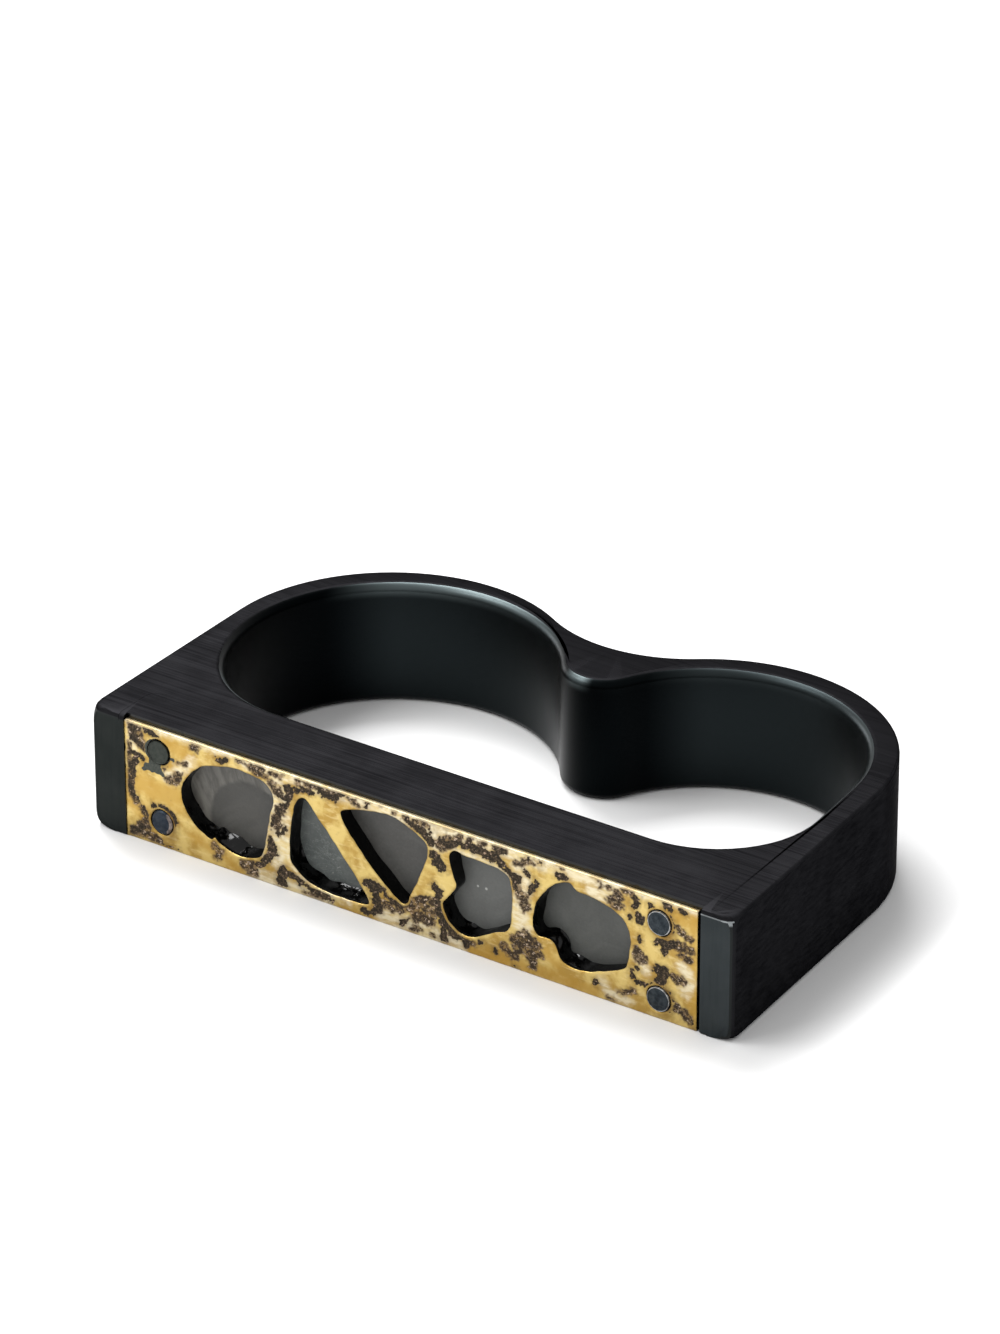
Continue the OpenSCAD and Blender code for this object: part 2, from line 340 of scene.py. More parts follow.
# The front's upper edge: the heights where its shine and its round begin, and how far the round
# reaches back and down. Then the width of the other worn edges, and how much of a face's normal
# points one way when the face lies square to it.
ring_height = 9 * mm
shine_foot = 8.58 * mm
round_foot = 8.68 * mm
round_depth = 0.35 * mm
round_drop = 0.1 * mm
worn_width = 0.12 * mm
square_on = 0.95


def worn_upper_edge(shape):
    """Rounds the upper edge of the front face, and cuts a narrow band just below for its shine."""
    front_part = [f for f in shape.faces if all(v.co.y < front + 1.5 * mm for v in f.verts)]
    for height in (shine_foot, round_foot):
        front_part = cut_across(shape, front_part, (0, 0, height), (0, 0, 1))
    cut_across(shape, shape.faces, (0, front + round_depth, 0), (0, 1, 0))
    for vert in shape.verts:
        if vert.co.y < front + 0.01 * mm and vert.co.z > ring_height - 0.005 * mm:
            vert.co += Vector((0, round_drop, -round_drop))
    shape.normal_update()


def upper_edge_look(centre):
    """The look of a place on the front's upper edge: rubbed on its round, worn bright just below."""
    if centre.y > front + round_depth or centre.z < shine_foot:
        return None
    return rubbed_face if centre.z > round_foot else worn_edge


shank_looks = [rubbed_face, left_strip, right_strip, dull_wall_painted_shade, polished_wall_painted_light, worn_edge]
shank_shape = merged_copy("shank")
worn_upper_edge(shank_shape)
whole = bvhtree.BVHTree.FromBMesh(shank_shape)
for face in shank_shape.faces:
    centre = face.calc_center_median()
    outwards = Vector((face.normal.x, face.normal.y, 0))
    if abs(face.normal.z) > square_on:
        look = rubbed_face
    elif upper_edge_look(centre):
        look = upper_edge_look(centre)
    elif face.normal.y < -square_on and centre.y < front + 0.2 * mm:
        look = left_strip if centre.x < 0 else right_strip
    elif face.normal.y < -0.7 and centre.y < front + 0.3 * mm:
        look = worn_edge
    elif whole.ray_cast(centre + outwards * 0.2 * mm, outwards)[0] is None:
        look = dull_wall_painted_shade
    else:
        look = polished_wall_painted_light
    face.material_index = shank_looks.index(look)
worn_front_edges(shank_shape, shank_looks.index(worn_edge))
finished("ring_shank", shank_shape, shank_looks, "shank")


# Setting block: the silver block let into the front of the bar. It is rubbed level with the shank,
# which has closed most of its joint; a hairline still shows on top, behind and on the left. Black
# enamel lines the pockets, lumpy and glossy, and creeps a little way over the stones.
def glossy_enamel():
    material, tree, shader = new_material(
        "glossy_enamel",
        {"Roughness": 0.12, "Base Color": (0.0004, 0.0004, 0.0004, 1), "Specular IOR Level": 0.3},
    )
    drips = grain(tree, (1100, 1100, 1100), detail=2.0, twist=0.6)
    raised(tree, shader, drips, 0.12 * mm, 0.35)
    return material


stone_face = 1.25
enamel_top = 0.42
enamel_foot = stone_face - 0.03
# Where the enamel has run over a stone: x and z on the front, how far round, how far over
enamel_runs = [
    (-17.8, 3.1, 0.9, 0.2),
    (-16.4, 2.2, 0.8, 0.3),
    (-14.5, 1.5, 1.1, 0.6),
    (-12.6, 1.6, 0.8, 0.15),
    (-9.4, 4.4, 0.6, 0.1),
    (-9.2, 2.5, 0.9, 0.4),
    (-8.0, 1.3, 0.8, 0.3),
    (-6.3, 0.9, 0.7, 0.35),
    (-4.9, 0.8, 0.8, 0.4),
    (-4.4, 5.3, 1.0, 0.1),
    (-2.6, 3.3, 0.8, 0.12),
    (3.1, 6.2, 0.8, 0.12),
    (2.7, 2.3, 0.9, 0.2),
    (4.0, 1.3, 0.7, 0.4),
    (6.9, 2.4, 0.6, 0.15),
    (9.5, 4.6, 0.9, 0.2),
    (10.4, 2.9, 0.8, 0.22),
    (11.1, 2.6, 0.7, 0.22),
    (12.3, 1.5, 0.9, 0.35),
]


def enamel_thickness(spot):
    """How far the enamel stands off the pocket's wall at a point, most at its foot."""
    deep = (spot.y - front) / mm
    if not enamel_top < deep < enamel_foot + 0.005:
        return 0
    rise = (deep - enamel_top) / (enamel_foot - enamel_top)
    over = 0.07 + 0.1 * max(0, noise.noise(Vector((spot.x, 0, spot.z)) / (1.1 * mm)))
    for x, z, reach, size in enamel_runs:
        gap = (Vector((spot.x, 0, spot.z)) - Vector((middle + x * mm, 0, z * mm))).length / mm
        over += size * math.exp(-((gap / reach) ** 2))
    lumps = 0.05 * (0.6 + noise.noise(spot / (0.45 * mm))) * math.sin(math.pi * rise)
    return (over * (0.75 * rise + 0.25 * rise ** 4) + lumps) * mm


def is_pocket_wall(face):
    """Whether a face of the block is upright and lined with enamel inside one of the pockets."""
    centre = face.calc_center_median()
    return (
        abs(face.normal.y) < 0.1
        and face.material_index == block_looks.index(enamel)
        and block_low.z + skin < centre.z < block_high.z - skin
        and pockets_from < centre.x < pockets_to
        and centre.y < front + pocket_depth
    )


enamel = glossy_enamel()
block_looks = [rubbed_face, left_strip, enamel, worn_edge]
block_low, block_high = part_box("setting_block")
block_shape = merged_copy("setting_block")
worn_upper_edge(block_shape)
skin = 0.1 * mm
pockets_from = middle - 18.8 * mm
pockets_to = middle + 17.5 * mm
pocket_depth = 3 * mm
joint_depth = 0.5 * mm
cut_across(block_shape, block_shape.faces, (0, 0, block_high.z - joint_depth), (0, 0, 1))

# The joint with the shank is closed round the right end and, under joint_depth, at the left end
closing = 0.028 * mm
closed_from = middle + 9 * mm
corner_round = 0.899
corner = block_high - Vector((corner_round, corner_round, 0)) * mm
for vert in block_shape.verts:
    from_corner = Vector((vert.co.x - corner.x, vert.co.y - corner.y, 0))
    if from_corner.x > 0 and from_corner.y > 0:
        vert.co += from_corner.normalized() * closing
    elif vert.co.x > block_high.x - tiny:
        vert.co.x += closing
    elif vert.co.y > block_high.y - tiny and vert.co.x > closed_from:
        vert.co.y += closing
    elif vert.co.x < block_low.x + tiny and vert.co.z < block_high.z - 0.9 * joint_depth:
        vert.co.x -= closing

for face in block_shape.faces:
    centre = face.calc_center_median()
    outside = not block_low.z + skin < centre.z < block_high.z - skin
    if abs(face.normal.z) > square_on and outside:
        look = rubbed_face
    elif upper_edge_look(centre) and (face.normal.y < -0.5 or face.normal.z > 0.2):
        look = rubbed_face
    elif centre.y < front + 0.01 * mm:
        look = left_strip
    else:
        look = enamel
    face.material_index = block_looks.index(look)

# Lumpy enamel on the pocket walls: they are cut in steps down to the stones, then swollen
walls = [f for f in block_shape.faces if is_pocket_wall(f) and f.calc_area() > 0]
bmesh.ops.join_triangles(block_shape, faces=walls, angle_face_threshold=0.1, angle_shape_threshold=3)
walls = [f for f in block_shape.faces if is_pocket_wall(f)]
rims = {e for f in walls for e in f.edges if abs(e.verts[0].co.y - e.verts[1].co.y) < tiny}
bmesh.ops.subdivide_edges(block_shape, edges=list(rims), cuts=1, use_grid_fill=True)
walls = [f for f in block_shape.faces if is_pocket_wall(f)]
for deep in (0.55, 0.7, 0.82, 0.93, 1.02, 1.1, 1.16, 1.2, enamel_foot, enamel_foot + 0.015):
    walls = cut_across(block_shape, walls, (0, front + deep * mm, 0), (0, 1, 0))
block_shape.normal_update()
shifts = {v: v.normal * enamel_thickness(v.co) for f in walls for v in f.verts}
for vert, shift in shifts.items():
    vert.co += shift
worn_front_edges(block_shape, block_looks.index(worn_edge))
finished("front_block", block_shape, block_looks, "setting_block", sharp=50)


# Stones: five flat slabs of dark grey stone, one in each pocket, ground flat with a satin face.
# Each has its own tone, and the first has a darker round zone with a paler band beside it.
def distance_from(tree, centre):
    coords = add(tree, "ShaderNodeTexCoord", output="Object")
    return add(tree, "ShaderNodeVectorMath", {0: coords, 1: centre}, output="Value", operation="DISTANCE")


pale_band = (0.07, 0.066, 0.058, 1)
paler_band = (0.14, 0.134, 0.118, 1)
pale_fleck = (0.34, 0.34, 0.32, 1)


def slab_of_stone(name, dark, light, veins, zone=None, flecks=()):
    """Clouded stone with thin pale veins.

    A zone is its centre and reach; flecks are the same, and how sparse their grains are.
    """
    material, tree, shader = new_material(name, {"Specular IOR Level": 0.35})
    clouds = grain(tree, (420, 420, 420), detail=5.0, twist=0.8)
    fine = grain(tree, (5200, 5200, 5200), detail=4.0)
    clouded = spread(tree, clouds, 0.3, 0.7, 0.0, 0.65)
    tone = sum_of(tree, clouded, spread(tree, fine, 0.3, 0.7, 0.0, 0.35))
    colour = blended(tree, tone, dark, light)
    threads = grain(tree, (500, 500, 900), detail=6.0, rough=0.65, twist=1.4, turn=(0, 0, 0.5))
    ridge = add(tree, "ShaderNodeMath", {0: sum_of(tree, threads, -0.5)}, operation="ABSOLUTE")
    pale = tuple(min(1.0, 2.4 * part) for part in light[:3]) + (1,)
    colour = blended(tree, spread(tree, ridge, 0.0, 0.012, veins, 0.0), colour, pale)
    if zone:
        centre, reach = zone
        wavy = sum_of(tree, distance_from(tree, centre), product_of(tree, clouds, 0.9 * mm))
        streaks = grain(tree, (1500, 1500, 350), detail=5.0, rough=0.6, twist=0.5, turn=(0, 0.35, 0))
        band = blended(tree, spread(tree, streaks, 0.35, 0.65), pale_band, paler_band)
        colour = blended(tree, spread(tree, wavy, reach + 0.25 * mm, reach + 0.65 * mm), colour, band)
    for centre, reach, sparse in flecks:
        near = spread(tree, distance_from(tree, centre), 0.4 * reach, reach, 1.0, 0.0)
        fleck = product_of(tree, near, spread(tree, fine, sparse, sparse + 0.06))
        colour = blended(tree, fleck, colour, pale_fleck)
    tree.links.new(colour, shader.inputs["Base Color"])
    tree.links.new(spread(tree, fine, 0.3, 0.7, 0.34, 0.5), shader.inputs["Roughness"])
    raised(tree, shader, sum_of(tree, clouds, fine), 0.02 * mm, 0.35)
    return material


stone_looks = {
    "stone_1": (
        (0.039, 0.038, 0.034, 1),
        (0.062, 0.06, 0.054, 1),
        0.08,
        (place(-13.6, stone_face, 3.0), 3.2 * mm),
    ),
    "stone_2": (
        (0.054, 0.062, 0.059, 1),
        (0.106, 0.115, 0.11, 1),
        0.4,
        None,
        [(place(-6.9, stone_face, 2.1), 1.2 * mm, 0.64)],
    ),
    "stone_3": ((0.045, 0.044, 0.0405, 1), (0.077, 0.075, 0.07, 1), 0.12),
    "stone_4": (
        (0.08, 0.082, 0.078, 1),
        (0.112, 0.115, 0.109, 1),
        0.06,
        None,
        [(place(4.35, stone_face, 4.35), 0.11 * mm, 0), (place(5.0, stone_face, 4.35), 0.13 * mm, 0)],
    ),
    "stone_5": ((0.05, 0.052, 0.048, 1), (0.077, 0.079, 0.073, 1), 0.08),
}
for node, look in stone_looks.items():
    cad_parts[node].material_slots[0].material = slab_of_stone(node + "_slab", *look)


# Gold sheet: a thin sheet with five sawn windows, riveted over the stones. It was fused with dark
# metal on its face, so brown pitted patches lie between smooth islands and lips of gold.
# A brush stroke is its half width and the points it runs through, x and z on the front, in mm.
# First the patches that have gone dark all over
dark_strokes = [
    (0.15, [(-22.1, 8.6), (-22.1, 8.1)]),
    (0.18, [(-21.1, 8.5), (-20.5, 8.35), (-20.3, 8.05)]),
    (0.1, [(-22.2, 7.5), (-21.7, 7.15), (-21.3, 6.95)]),
    (0.12, [(-22.5, 6.3), (-21.8, 6.35), (-21.4, 6.2)]),
    (0.22, [(-22, 5.9), (-22.25, 5.4), (-22.2, 4.8)]),
    (0.07, [(-22.6, 3.75), (-22.1, 3.2), (-21.5, 2.5), (-20.95, 2.05)]),
    (0.12, [(-20.5, 2.85), (-19.8, 2.95), (-19, 2.65), (-18.85, 1.7)]),
    (0.17, [(-22.3, 0.5), (-21.8, 0.7), (-21.3, 1.1)]),
    (0.12, [(-19.9, 0.15), (-18.7, 0.08)]),
    (0.14, [(-15.3, 7.88), (-14.65, 8.12)]),
    (0.24, [(-9.75, 7.55), (-9.4, 7.5), (-9.5, 7.05)]),
    (0.14, [(-9.2, 7.8), (-9.1, 7.6)]),
    (0.14, [(-10.5, 6.9), (-9.8, 6.75)]),
    (0.14, [(-9.7, 6.35), (-10.25, 6.05), (-10.45, 5.5), (-10.35, 5.2)]),
    (0.1, [(-10.95, 5), (-10.95, 4.4)]),
    (0.11, [(-9.95, 4.45), (-10.3, 4.05), (-10.85, 4.1)]),
    (0.28, [(-11.1, 3.2), (-10.9, 2.7), (-11.2, 2.2), (-11.7, 1.5)]),
    (0.16, [(-11.8, 1.3), (-12.3, 1.05)]),
    (0.32, [(-10.1, 1.3), (-10.25, 0.8), (-10.35, 0.3)]),
    (0.16, [(-9.6, 1.2), (-8.7, 0.85), (-7.7, 0.62), (-6.8, 0.5), (-6.3, 0.28)]),
    (0.14, [(-8.5, 7.9), (-7.8, 7.85)]),
    (0.16, [(-7.2, 8.2), (-6.6, 7.98), (-6.1, 7.95), (-5.7, 8.25), (-5.3, 8.5)]),
    (0.13, [(-3.55, 8.2), (-3.4, 8.45)]),
    (0.1, [(-4.4, 8.95), (-4.2, 8.9)]),
    (0.13, [(-0.3, 8.2), (0, 8)]),
    (0.24, [(-3.45, 2.5), (-3, 2.65), (-2.5, 2.5)]),
    (0.28, [(-2.9, 2.2), (-2.8, 1.6), (-2.65, 1)]),
    (0.11, [(-2.2, 2.45), (-1.9, 2.05), (-1.4, 1.85), (-1, 1.75)]),
    (0.13, [(-3.9, 0.45), (-3.4, 0.4), (-2.9, 0.65)]),
    (0.12, [(-0.8, 0.52), (-0.6, 0.7)]),
    (0.33, [(2.1, 2.8), (2.2, 2.2), (2.6, 1.5), (3.2, 1.15)]),
    (0.24, [(2.4, 1.4), (2.5, 0.7), (2.45, 0.3)]),
    (0.16, [(3.3, 0.95), (3.9, 0.8), (4.3, 0.65)]),
    (0.12, [(5.25, 1.05), (5.4, 1.05)]),
    (0.12, [(6.45, 0.9), (6.45, 0.8)]),
    (0.13, [(8, 0.15), (8.1, 0.08)]),
    (0.27, [(1.85, 4), (2.1, 3.7)]),
    (0.2, [(2.05, 3.4), (1.9, 3.1)]),
    (0.34, [(1.75, 6.3), (2.05, 5.8), (2.4, 5.6)]),
    (0.24, [(0.6, 7.85), (1.1, 7.45), (1.45, 7.1)]),
    (0.1, [(1.45, 7.85), (1.45, 7.75)]),
    (0.1, [(2.15, 7.75), (2.15, 7.6)]),
    (0.17, [(2.5, 7.35), (3.2, 7.65), (4, 7.75), (4.8, 7.8)]),
    (0.25, [(4.8, 7.75), (5.4, 7.8), (6, 7.55), (6.6, 7.6), (7, 7.3)]),
    (0.17, [(6.4, 7.9), (6.8, 8.15), (7.1, 8.35)]),
    (0.26, [(7.3, 6.95), (7.7, 6.7), (8.2, 6.65)]),
    (0.14, [(7.8, 6.1), (7.9, 5.8)]),
    (0.14, [(9.6, 6.9), (9.35, 6.45), (9.15, 6.1)]),
    (0.07, [(8.7, 7.5), (9, 7.1)]),
    (0.17, [(11.25, 7.85), (11.8, 7.9)]),
    (0.07, [(9, 8.52), (9, 8.45)]),
    (0.07, [(9.82, 8.35), (9.8, 8.25)]),
    (0.05, [(0.4, 8.78), (1.6, 8.72), (2.4, 8.76), (3.5, 8.8)]),
    (0.2, [(17.1, 8.1), (17.1, 7.8), (16.95, 7.55)]),
    (0.08, [(16.65, 6.62), (16.7, 6.58)]),
    (0.2, [(17.3, 6.95), (17.6, 6.8), (17.45, 6.55)]),
    (0.17, [(18.2, 7.9), (18.25, 7.8)]),
    (0.17, [(19.3, 8.6), (19.5, 8.3), (19.7, 8.15)]),
    (0.08, [(20.45, 8.4), (20.7, 8.2)]),
    (0.26, [(18.8, 5.6), (19.4, 5.5), (19.9, 5.75)]),
    (0.15, [(19.15, 5.25), (19.3, 4.9)]),
    (0.1, [(17.4, 5.35), (17.4, 5.1)]),
    (0.12, [(17.2, 3.25), (17.3, 3.15)]),
    (0.15, [(16.8, 2.85), (16.9, 2.5)]),
    (0.3, [(18.8, 3.4), (19.2, 3.6), (19.4, 3.3), (19, 3), (18.9, 2.75)]),
    (0.07, [(17.2, 2.05), (17.9, 2.1)]),
    (0.12, [(14.1, 1.05), (14.2, 1.05)]),
    # These three strokes, beside the right-hand rivets, are dark scale and painted shadow of the heads.
    (0.11, [(19.75, 6.5), (19.8, 7), (19.6, 7.55)]),
    (0.13, [(19.3, 2.2), (19.7, 1.8), (19.8, 1.3), (19.7, 0.9)]),
    (0.1, [(18.1, 2.1), (18.8, 2.4), (19.3, 2.2)]),
    (0.1, [(21.4, 0.35), (21.5, 0.2)]),
]
# Then the crusts, where dark scale and light metal are mixed
crust_strokes = [
    (0.4, [(-22, 8), (-21.6, 7.5), (-21.4, 7.2)]),
    (0.25, [(-22.4, 8.7), (-21.8, 8.3)]),
    (0.22, [(-22.5, 6.8), (-22.5, 5.6)]),
    (0.25, [(-22.6, 4.9), (-22.5, 3.7)]),
    (0.4, [(-22.2, 0.3), (-21.6, 0.9), (-21, 1.5)]),
    (0.25, [(-21, 0.5), (-20.2, 0.3)]),
    (0.22, [(-19.3, 5.2), (-18.7, 5.3), (-18.4, 5.8)]),
    (0.12, [(-19.7, 6.05), (-19.5, 6.25)]),
    (0.07, [(-18.5, 6.7), (-17.9, 6.8)]),
    (0.17, [(-17.25, 8.15), (-16.85, 8.6)]),
    (0.08, [(-13.7, 8.45), (-13.6, 8.5)]),
    (0.08, [(-13.2, 8.6), (-13.1, 8.7)]),
    (0.14, [(-22.3, 3.1), (-21.7, 2.5), (-21.2, 2)]),
    (0.22, [(-15.6, 1.45), (-15.2, 1.1), (-15.4, 0.75)]),
    (0.32, [(-13.3, 0.8), (-12.6, 0.9), (-12.6, 0.2)]),
    (0.27, [(-12.4, 8.2), (-12.1, 8), (-11.95, 8.5)]),
    (0.14, [(-12.4, 7.85), (-11.6, 7.85), (-11, 7.7), (-10.7, 7.4)]),
    (0.09, [(-11, 8.3), (-10.3, 8.3), (-10.15, 8.5)]),
    (0.3, [(-10.3, 5.8), (-10.6, 5), (-10.6, 4.4)]),
    (0.25, [(-11.1, 7.2), (-10.4, 7.1)]),
    (0.16, [(-8.3, 0.2), (-7.2, 0.25)]),
    (0.16, [(-8.3, 8.3), (-7.4, 8.4), (-6.7, 8.35)]),
    (0.14, [(-6.6, 8.3), (-6, 8.4), (-5.5, 8.55)]),
    (0.12, [(-9, 8.3), (-8.8, 8.2)]),
    (0.12, [(-4.95, 8.35), (-4.5, 8.2), (-4.2, 8.1)]),
    (0.07, [(-2.65, 8.85), (-2.4, 8.8)]),
    (0.07, [(-1.4, 8.5), (-1.3, 8.5)]),
    (0.07, [(-0.6, 8.35), (-0.5, 8.35)]),
    (0.25, [(-2.2, 1.5), (-1.6, 1.3)]),
    (0.38, [(-1, 1.6), (0, 2.1), (1, 2.55), (1.7, 2.9)]),
    (0.38, [(0.3, 1.3), (1.3, 1.8), (2, 2.2)]),
    (0.22, [(0.9, 1.3), (1.5, 1.25)]),
    (0.14, [(0.1, 0.3), (0.6, 0.5)]),
    (0.08, [(1.4, 0.4), (1.6, 0.35)]),
    (0.14, [(4.2, 0.65), (4.75, 0.75)]),
    (0.27, [(0.3, 8.1), (0.8, 8.3), (1, 8.5)]),
    (0.3, [(2.2, 7.15), (2.8, 7.6), (3.6, 7.9)]),
    (0.15, [(3.6, 8), (3.8, 8.4)]),
    (0.15, [(4.4, 8), (4.65, 8.55)]),
    (0.15, [(5.2, 8.1), (5.6, 8.45)]),
    (0.2, [(6.5, 8.4), (7.2, 8.5)]),
    (0.28, [(8.2, 5.9), (8.5, 5.5), (8.8, 5.2)]),
    (0.2, [(8.5, 4.8), (8.8, 4.75)]),
    (0.14, [(8, 7.75), (8.6, 7.8), (8.8, 8.1), (9.3, 8.2)]),
    (0.25, [(8.3, 2.6), (8.9, 2.75)]),
    (0.36, [(8, 2.1), (8.8, 2.1), (9.6, 2.3)]),
    (0.36, [(8.1, 1.6), (9, 1.6), (9.7, 1.7)]),
    (0.24, [(9.2, 1.3), (9.3, 0.65)]),
    (0.25, [(7.1, 1.4), (7.5, 1.1), (7.9, 1.0)]),
    (0.12, [(11.3, 8.7), (11.5, 8.6)]),
    (0.12, [(14.2, 8.6), (14.5, 8.2)]),
    (0.07, [(15.05, 8.2), (15.15, 8.2)]),
    (0.28, [(15.3, 7.35), (15.85, 7.9)]),
    (0.22, [(15.6, 7.1), (16, 7.2)]),
    (0.14, [(16.2, 8.3), (16.5, 8.6), (16.8, 8.4)]),
    (0.17, [(20.3, 7), (20.7, 6.7), (21.2, 6.5)]),
    (0.3, [(20.3, 5.7), (21.1, 5.6)]),
    (0.2, [(20.6, 5.15), (21.1, 5)]),
    (0.16, [(17.2, 4.6), (17.5, 4.3)]),
    (0.16, [(17.1, 4.1), (17.4, 3.65), (17.9, 4)]),
    (0.25, [(19.9, 3.4), (20.6, 3.3)]),
    (0.12, [(16.1, 0.95), (16.5, 1.1), (17, 1.4)]),
    (0.12, [(15.1, 0.2), (15.4, 0.15)]),
    (0.25, [(20.3, 1.2), (20.8, 1), (21.1, 0.7)]),
]
# The grey stain round the upper left rivet
stain_strokes = [
    (0.85, [(-20.35, 7.05), (-20.3, 7.05)]),
    (0.5, [(-20.4, 6.4), (-20.4, 6)]),
    (0.3, [(-21, 5.7), (-20.1, 5.7)]),
    (0.12, [(-21, 5.6), (-21.35, 5.42)]),
    (0.12, [(-20, 5.6), (-19.75, 5.42)]),
    (0.09, [(-19.5, 6.9), (-18.9, 6.8)]),
]
# Pale, frosted gold
pale_strokes = [
    (0.16, [(-22.6, 8.6), (21.6, 8.6)]),
    (0.75, [(-13, 8.8), (-4, 8.7), (4, 8.6), (10, 8.7)]),
    (0.5, [(10.5, 8.5), (15.5, 8.4)]),
    (0.4, [(13.8, 7.6), (15.4, 7.6)]),
    (0.7, [(-10.6, 7.5), (-10.4, 6.4), (-10.5, 4.6), (-10.4, 3.6)]),
    (0.45, [(-10.2, 2.9), (-10.6, 1.8)]),
    (0.5, [(-12.4, 0.4), (-9, 0.3), (-6.6, 0)]),
    (0.7, [(-2.2, 0.6), (0, 0.5), (2, 0.4), (3.4, 0.3)]),
    (0.6, [(1.6, 7.6), (2, 7.2)]),
    (0.6, [(8.3, 7.6), (8.6, 6.4), (8.4, 4), (8.6, 3.2)]),
    (0.25, [(-22.3, 8.2), (-22.1, 6.6)]),
    (0.35, [(-19.4, 5.3), (-18.2, 6.4), (-17.4, 7.2)]),
    (0.4, [(20.6, 4.3), (21.2, 3.5), (20.9, 2.6)]),
    (0.3, [(14.7, 1.3), (15.2, 0.6), (16.6, 0.5)]),
    (0.3, [(17.9, 3.2), (17.3, 4)]),
    (0.16, [(3.4, 7.3), (4.2, 7.15), (5, 7.25), (6, 7.05), (7.4, 6.75)]),
    (0.12, [(-11.25, 5.6), (-11.35, 4.6), (-11.6, 3.2), (-11.8, 2.1)]),
    (0.12, [(-9.75, 6), (-9.75, 2.4), (-8.8, 1.2), (-7, 0.75), (-5, 0.65)]),
]
# Deeper, warmer gold: round the rivets, at the sheet's ends and along its foot
warm_strokes = [
    (0.9, [(18.85, 6.9), (18.9, 6.8)]),
    (0.9, [(18.85, 1.4), (18.9, 1.3)]),
    (0.8, [(-19.9, 2), (-19.3, 2.4)]),
    (0.4, [(21.5, 0.3), (21.4, 8.5)]),
    (0.5, [(19.8, 8), (20.6, 7.6)]),
    (0.5, [(4.4, 0.3), (7, 0.4), (11, 0.5), (14, 0.4)]),
    (0.4, [(10.4, 2), (11.2, 1.3)]),
    (0.4, [(-19.5, 3.6), (-18.6, 3.2)]),
    (0.4, [(-17.4, 1.6), (-14, 0.5)]),
    (0.3, [(-19.2, 6.3), (-18.7, 6)]),
    (0.8, [(-21.6, 4.3), (-20.4, 4), (-18.9, 4.2)]),
    (0.6, [(-22.2, 2.6), (-21.4, 2.2)]),
    (0.5, [(-19.4, 7.9), (-18, 7.6), (-17.6, 7.2)]),
]
sheet_low, sheet_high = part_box("gold_plate")
cell = 0.075 * mm
blank_depth = 1 * mm
lip = 0.14 * mm
pit_depth = 0.06 * mm
top_drop = 0.34 * mm
sheet_top = sheet_high.z - top_drop
ragged_end = 0.12 * mm


def fine_sheet():
    """The gold plate's solid, with its front face divided into small squares.

    A blank with a grid on its face, a hair behind the plate's, is cut to the plate's form.
    """
    size = sheet_high - sheet_low
    turn = Matrix.Rotation(math.radians(90), 4, "X")
    scale = Matrix.Diagonal((size.x + 2 * cell, size.z + 2 * cell, 1, 1))
    centre = (sheet_low + sheet_high) / 2
    centre.y = sheet_low.y + 2 * tiny
    slab = bmesh.new()
    bmesh.ops.create_grid(
        slab,
        x_segments=round(size.x / cell) + 2,
        y_segments=round(size.z / cell) + 2,
        size=0.5,
        matrix=Matrix.Translation(centre) @ turn @ scale,
    )
    rim = [e for e in slab.edges if e.is_boundary]
    pulled = bmesh.ops.extrude_edge_only(slab, edges=rim)["geom"]
    back = [part for part in pulled if isinstance(part, bmesh.types.BMVert)]
    bmesh.ops.translate(slab, verts=back, vec=(0, blank_depth, 0))
    bmesh.ops.holes_fill(slab, edges=[e for e in slab.edges if e.is_boundary], sides=0)
    bmesh.ops.recalc_face_normals(slab, faces=slab.faces)
    blank, stencil = bpy.data.meshes.new("blank"), bpy.data.meshes.new("stencil")
    slab.to_mesh(blank)
    slab.free()
    plate = merged_copy("gold_plate")
    plate.to_mesh(stencil)
    plate.free()
    sheet = bpy.data.objects.new("blank", blank)
    cutter = bpy.data.objects.new("stencil", stencil)
    scene.collection.objects.link(sheet)
    scene.collection.objects.link(cutter)
    cut = sheet.modifiers.new("cut", "BOOLEAN")
    cut.operation = "INTERSECT"
    cut.object = cutter
    cut.solver = "EXACT"
    bpy.context.view_layer.update()
    result = bmesh.new()
    result.from_object(sheet, bpy.context.evaluated_depsgraph_get())
    bpy.data.objects.remove(sheet)
    bpy.data.objects.remove(cutter)
    return result


def tree_of(points):
    tree = kdtree.KDTree(len(points))
    for index, point in enumerate(points):
        tree.insert(point, index)
    tree.balance()
    return tree


def painted(strokes, reach=0.5):
    """How far each point of the sheet's face lies inside the nearest stroke, in mm, or outside it."""
    inside = [-reach] * len(face_points)
    for half, points in strokes:
        for start, end in zip(points, points[1:]):
            steps = max(1, round(math.dist(start, end) / max(0.08, half / 3)))
            for step in range(steps + 1):
                x, z = (a + (b - a) * step / steps for a, b in zip(start, end))
                spot = place(x, 0, z)
                spot.y = sheet_low.y
                for _, index, distance in face_tree.find_range(spot, (half + reach) * mm):
                    inside[index] = max(inside[index], half - distance / mm)
    return inside


def eased(value, low, high):
    """A soft step from 0, at or under low, to 1, at or over high."""
    part = min(1.0, max(0.0, (value - low) / (high - low)))
    return part * part * (3 - 2 * part)


sheet_shape = fine_sheet()
# The sheet was cut a little low, so that the bar's dark edge shows over it
squeezed_part = 0.9 * mm
squeezed_from = sheet_high.z - squeezed_part
for vert in sheet_shape.verts:
    vert.co.z -= top_drop * max(0.0, vert.co.z - squeezed_from) / squeezed_part

